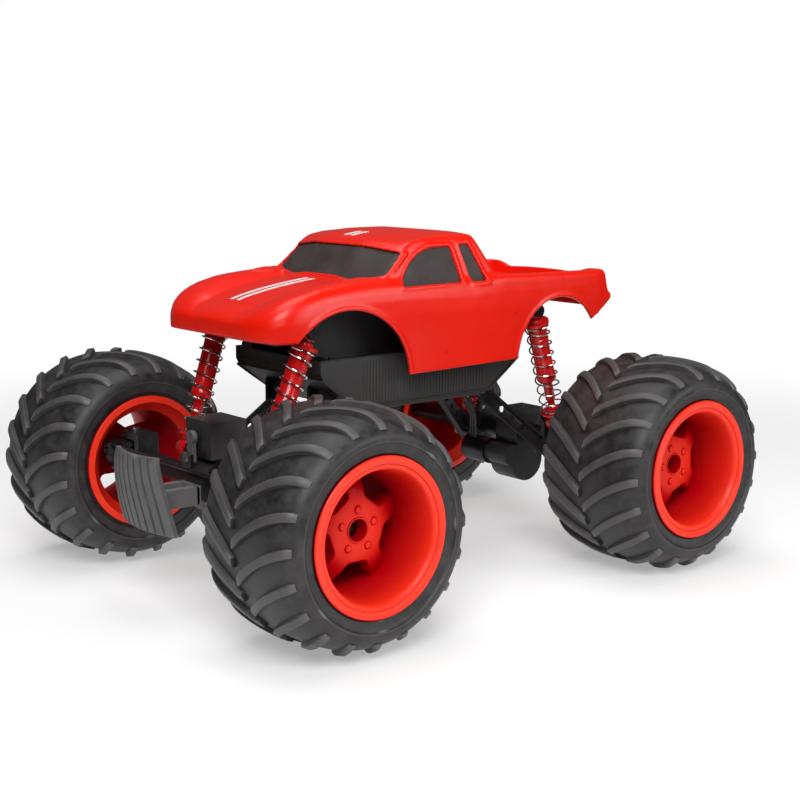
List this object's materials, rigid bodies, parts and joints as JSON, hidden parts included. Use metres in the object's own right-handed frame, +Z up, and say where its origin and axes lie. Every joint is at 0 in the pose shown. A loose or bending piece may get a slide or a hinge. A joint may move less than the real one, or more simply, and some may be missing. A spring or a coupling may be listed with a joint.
{
  "type": "remote control car",
  "caption": "Radio-controlled monster truck with a pickup body, large lugged tyres, coil-over shocks, steered front axle and driven solid axles.",
  "frame": {"origin": "on the ground below the middle of the wheelbase, on the truck's centre plane", "axes": "+X forward, +Y to the left, +Z up"},
  "size_m": [0.3462, 0.286, 0.1905],
  "materials": {
    "body_red": "satin painted polycarbonate, bright red",
    "rim_red": "satin moulded plastic, orange red",
    "window_grey": "matt charcoal",
    "tyre": "soft matt rubber",
    "black_plastic": "fine textured moulded plastic",
    "grey_plastic": "moulded plastic, mid grey",
    "shock_red": "glossy red plastic",
    "spring_steel": "bright drawn wire",
    "screw_steel": "zinc plated steel",
    "gear_nylon": "natural nylon",
    "battery_wrap": "shrink wrap, dark blue",
    "circuit_board": "green solder mask",
    "wire_black": "PVC insulation, black",
    "motor_can": "blackened steel can"
  },
  "bodies": {
    "chassis": {"body_shell": "body_red", "window_panel": "window_grey", "chassis_tub": "black_plastic", "chassis_deck": "black_plastic", "front_shock_tower": "black_plastic", "rear_shock_tower": "black_plastic", "battery_pack": "battery_wrap", "battery_door": "black_plastic", "receiver_board": "circuit_board", "chassis_screws": "screw_steel", "front_motor_wires": "wire_black", "rear_motor_wires": "wire_black"},
    "power_switch": {"power_switch": "black_plastic"},
    "front_pivot_ball": {"front_pivot_ball": "screw_steel"},
    "front_axle": {"front_axle_housing": "black_plastic", "front_gearbox_cover": "black_plastic", "front_motor": "motor_can", "front_axle_screws": "screw_steel", "front_bumper": "grey_plastic", "steering_servo": "black_plastic"},
    "front_left_link": {"front_left_link": "black_plastic"},
    "front_left_shock_body": {"front_left_shock_body": "shock_red", "front_left_spring": "spring_steel"},
    "front_left_shock_rod": {"front_left_shock_rod": "shock_red"},
    "front_right_link": {"front_right_link": "black_plastic"},
    "front_right_shock_body": {"front_right_shock_body": "shock_red", "front_right_spring": "spring_steel"},
    "front_right_shock_rod": {"front_right_shock_rod": "shock_red"},
    "rear_pivot_ball": {"rear_pivot_ball": "screw_steel"},
    "rear_axle": {"rear_axle_housing": "black_plastic", "rear_gearbox_cover": "black_plastic", "rear_motor": "motor_can", "rear_axle_screws": "screw_steel"},
    "rear_left_link": {"rear_left_link": "black_plastic"},
    "rear_left_shock_body": {"rear_left_shock_body": "shock_red", "rear_left_spring": "spring_steel"},
    "rear_left_shock_rod": {"rear_left_shock_rod": "shock_red"},
    "rear_right_link": {"rear_right_link": "black_plastic"},
    "rear_right_shock_body": {"rear_right_shock_body": "shock_red", "rear_right_spring": "spring_steel"},
    "rear_right_shock_rod": {"rear_right_shock_rod": "shock_red"},
    "left_knuckle": {"left_knuckle": "black_plastic"},
    "right_knuckle": {"right_knuckle": "black_plastic"},
    "tie_rod": {"tie_rod": "black_plastic"},
    "servo_horn": {"servo_horn": "grey_plastic"},
    "front_drive_shaft": {"front_drive_shaft": "screw_steel"},
    "front_idler_gear": {"front_idler_gear": "gear_nylon"},
    "front_pinion": {"front_pinion": "gear_nylon"},
    "front_left_wheel": {"front_left_rim": "rim_red", "front_left_tyre": "tyre", "left_stub_axle": "screw_steel"},
    "front_right_wheel": {"front_right_rim": "rim_red", "front_right_tyre": "tyre", "right_stub_axle": "screw_steel"},
    "rear_wheels": {"rear_rims": "rim_red", "rear_tyres": "tyre", "rear_axle_shaft": "screw_steel"},
    "rear_idler_gear": {"rear_idler_gear": "gear_nylon"},
    "rear_pinion": {"rear_pinion": "gear_nylon"}
  },
  "joints": [
    {"name": "power_switch_slide", "type": "slide", "parent": "chassis", "child": "power_switch", "axis": [1, 0, 0], "range_m": [0, 0.004]},
    {"name": "front_left_bump", "type": "hinge", "parent": "chassis", "child": "front_pivot_ball", "pos_m": [0.1035, -0.036, 0.064], "axis": [0.7322, 0, -0.6811], "range_deg": [-9, 11], "stiffness_Nm_per_rad": 3, "springref_deg": -0.81, "deforming": ["front_motor_wires"]},
    {"name": "front_right_bump", "type": "hinge", "parent": "front_pivot_ball", "child": "front_axle", "pos_m": [0.1035, 0.036, 0.064], "axis": [-0.7322, 0, 0.6811], "range_deg": [-9, 11], "stiffness_Nm_per_rad": 3, "springref_deg": -0.81, "deforming": ["front_motor_wires"]},
    {"name": "front_left_link_pivot", "type": "hinge", "parent": "chassis", "child": "front_left_link", "pos_m": [0.057, 0.02, 0.096], "axis": [0, -1, 0], "range_deg": [-11.08, 13.52]},
    {"name": "front_left_shock_pivot", "type": "hinge", "parent": "chassis", "child": "front_left_shock_body", "pos_m": [0.081, 0.042, 0.142], "axis": [0, -1, 0], "range_deg": [-7.84, 9.56]},
    {"name": "front_left_shock_stroke", "type": "slide", "parent": "front_left_shock_body", "child": "front_left_shock_rod", "axis": [-0.3471, 0.0801, 0.9344], "range_m": [-0.00497, 0.00605], "deforming": ["front_left_spring"]},
    {"name": "front_right_link_pivot", "type": "hinge", "parent": "chassis", "child": "front_right_link", "pos_m": [0.057, -0.02, 0.096], "axis": [0, -1, 0], "range_deg": [-11.08, 13.52]},
    {"name": "front_right_shock_pivot", "type": "hinge", "parent": "chassis", "child": "front_right_shock_body", "pos_m": [0.081, -0.042, 0.142], "axis": [0, -1, 0], "range_deg": [-7.84, 9.56]},
    {"name": "front_right_shock_stroke", "type": "slide", "parent": "front_right_shock_body", "child": "front_right_shock_rod", "axis": [-0.3471, -0.0801, 0.9344], "range_m": [-0.00497, 0.00605], "deforming": ["front_right_spring"]},
    {"name": "rear_left_bump", "type": "hinge", "parent": "chassis", "child": "rear_pivot_ball", "pos_m": [-0.1035, -0.036, 0.064], "axis": [0.7322, 0, 0.6811], "range_deg": [-9, 11], "stiffness_Nm_per_rad": 3, "springref_deg": -0.81, "deforming": ["rear_motor_wires"]},
    {"name": "rear_right_bump", "type": "hinge", "parent": "rear_pivot_ball", "child": "rear_axle", "pos_m": [-0.1035, 0.036, 0.064], "axis": [-0.7322, 0, -0.6811], "range_deg": [-9, 11], "stiffness_Nm_per_rad": 3, "springref_deg": -0.81, "deforming": ["rear_motor_wires"]},
    {"name": "rear_left_link_pivot", "type": "hinge", "parent": "chassis", "child": "rear_left_link", "pos_m": [-0.057, 0.02, 0.096], "axis": [0, 1, 0], "range_deg": [-11.08, 13.52]},
    {"name": "rear_left_shock_pivot", "type": "hinge", "parent": "chassis", "child": "rear_left_shock_body", "pos_m": [-0.081, 0.042, 0.142], "axis": [0, 1, 0], "range_deg": [-7.84, 9.56]},
    {"name": "rear_left_shock_stroke", "type": "slide", "parent": "rear_left_shock_body", "child": "rear_left_shock_rod", "axis": [0.3471, 0.0801, 0.9344], "range_m": [-0.00497, 0.00605], "deforming": ["rear_left_spring"]},
    {"name": "rear_right_link_pivot", "type": "hinge", "parent": "chassis", "child": "rear_right_link", "pos_m": [-0.057, -0.02, 0.096], "axis": [0, 1, 0], "range_deg": [-11.08, 13.52]},
    {"name": "rear_right_shock_pivot", "type": "hinge", "parent": "chassis", "child": "rear_right_shock_body", "pos_m": [-0.081, -0.042, 0.142], "axis": [0, 1, 0], "range_deg": [-7.84, 9.56]},
    {"name": "rear_right_shock_stroke", "type": "slide", "parent": "rear_right_shock_body", "child": "rear_right_shock_rod", "axis": [0.3471, -0.0801, 0.9344], "range_m": [-0.00497, 0.00605], "deforming": ["rear_right_spring"]},
    {"name": "steering", "type": "hinge", "parent": "front_axle", "child": "left_knuckle", "pos_m": [0.113, 0.084, 0.06], "axis": [0, 0, 1], "range_deg": [-25, 25]},
    {"name": "right_knuckle_turn", "type": "hinge", "parent": "front_axle", "child": "right_knuckle", "pos_m": [0.113, -0.084, 0.06], "axis": [0, 0, 1], "range_deg": [-25.1, 25.1]},
    {"name": "tie_rod_slide", "type": "slide", "parent": "front_axle", "child": "tie_rod", "axis": [0, 1, 0], "range_m": [-0.0069, 0.0069]},
    {"name": "servo_horn_turn", "type": "hinge", "parent": "front_axle", "child": "servo_horn", "pos_m": [0.125, 0, 0.0865], "axis": [1, 0, 0], "range_deg": [-34.45, 34.45]},
    {"name": "front_drive", "type": "hinge", "parent": "front_axle", "child": "front_drive_shaft", "pos_m": [0.113, 0, 0.06], "axis": [0, 1, 0], "continuous": true},
    {"name": "front_idler_gear_spin", "type": "hinge", "parent": "front_axle", "child": "front_idler_gear", "pos_m": [0.1065, 0, 0.04451], "axis": [0, 1, 0], "continuous": true},
    {"name": "front_pinion_spin", "type": "hinge", "parent": "front_axle", "child": "front_pinion", "pos_m": [0.09459, 0, 0.04861], "axis": [0, 1, 0], "continuous": true},
    {"name": "front_left_wheel_spin", "type": "hinge", "parent": "left_knuckle", "child": "front_left_wheel", "pos_m": [0.113, 0.106, 0.06], "axis": [0, 1, 0], "continuous": true},
    {"name": "front_right_wheel_spin", "type": "hinge", "parent": "right_knuckle", "child": "front_right_wheel", "pos_m": [0.113, -0.106, 0.06], "axis": [0, 1, 0], "continuous": true},
    {"name": "rear_drive", "type": "hinge", "parent": "rear_axle", "child": "rear_wheels", "pos_m": [-0.113, 0, 0.06], "axis": [0, 1, 0], "continuous": true},
    {"name": "rear_idler_gear_spin", "type": "hinge", "parent": "rear_axle", "child": "rear_idler_gear", "pos_m": [-0.1065, 0, 0.04451], "axis": [0, 1, 0], "continuous": true},
    {"name": "rear_pinion_spin", "type": "hinge", "parent": "rear_axle", "child": "rear_pinion", "pos_m": [-0.09459, 0, 0.04861], "axis": [0, 1, 0], "continuous": true}
  ],
  "couplings": [
    {"joint": "front_left_link_pivot", "follows": "front_left_bump", "ratio": 1.22},
    {"joint": "front_left_shock_pivot", "follows": "front_left_bump", "ratio": 0.86},
    {"joint": "front_left_shock_stroke", "follows": "front_left_bump", "m_per_rad": 0.031},
    {"joint": "front_right_link_pivot", "follows": "front_right_bump", "ratio": 1.22},
    {"joint": "front_right_shock_pivot", "follows": "front_right_bump", "ratio": 0.86},
    {"joint": "front_right_shock_stroke", "follows": "front_right_bump", "m_per_rad": 0.031},
    {"joint": "rear_left_link_pivot", "follows": "rear_left_bump", "ratio": 1.22},
    {"joint": "rear_left_shock_pivot", "follows": "rear_left_bump", "ratio": 0.86},
    {"joint": "rear_left_shock_stroke", "follows": "rear_left_bump", "m_per_rad": 0.031},
    {"joint": "rear_right_link_pivot", "follows": "rear_right_bump", "ratio": 1.22},
    {"joint": "rear_right_shock_pivot", "follows": "rear_right_bump", "ratio": 0.86},
    {"joint": "rear_right_shock_stroke", "follows": "rear_right_bump", "m_per_rad": 0.031},
    {"joint": "right_knuckle_turn", "follows": "steering", "ratio": 1},
    {"joint": "tie_rod_slide", "follows": "steering", "m_per_rad": 0.015497},
    {"joint": "servo_horn_turn", "follows": "steering", "ratio": 1.374},
    {"joint": "front_drive", "follows": "front_left_wheel_spin", "ratio": 1},
    {"joint": "front_idler_gear_spin", "follows": "front_left_wheel_spin", "ratio": -2.5},
    {"joint": "front_pinion_spin", "follows": "front_left_wheel_spin", "ratio": 8},
    {"joint": "front_right_wheel_spin", "follows": "front_left_wheel_spin", "ratio": 1},
    {"joint": "rear_idler_gear_spin", "follows": "rear_drive", "ratio": -2.5},
    {"joint": "rear_pinion_spin", "follows": "rear_drive", "ratio": 8}
  ]
}
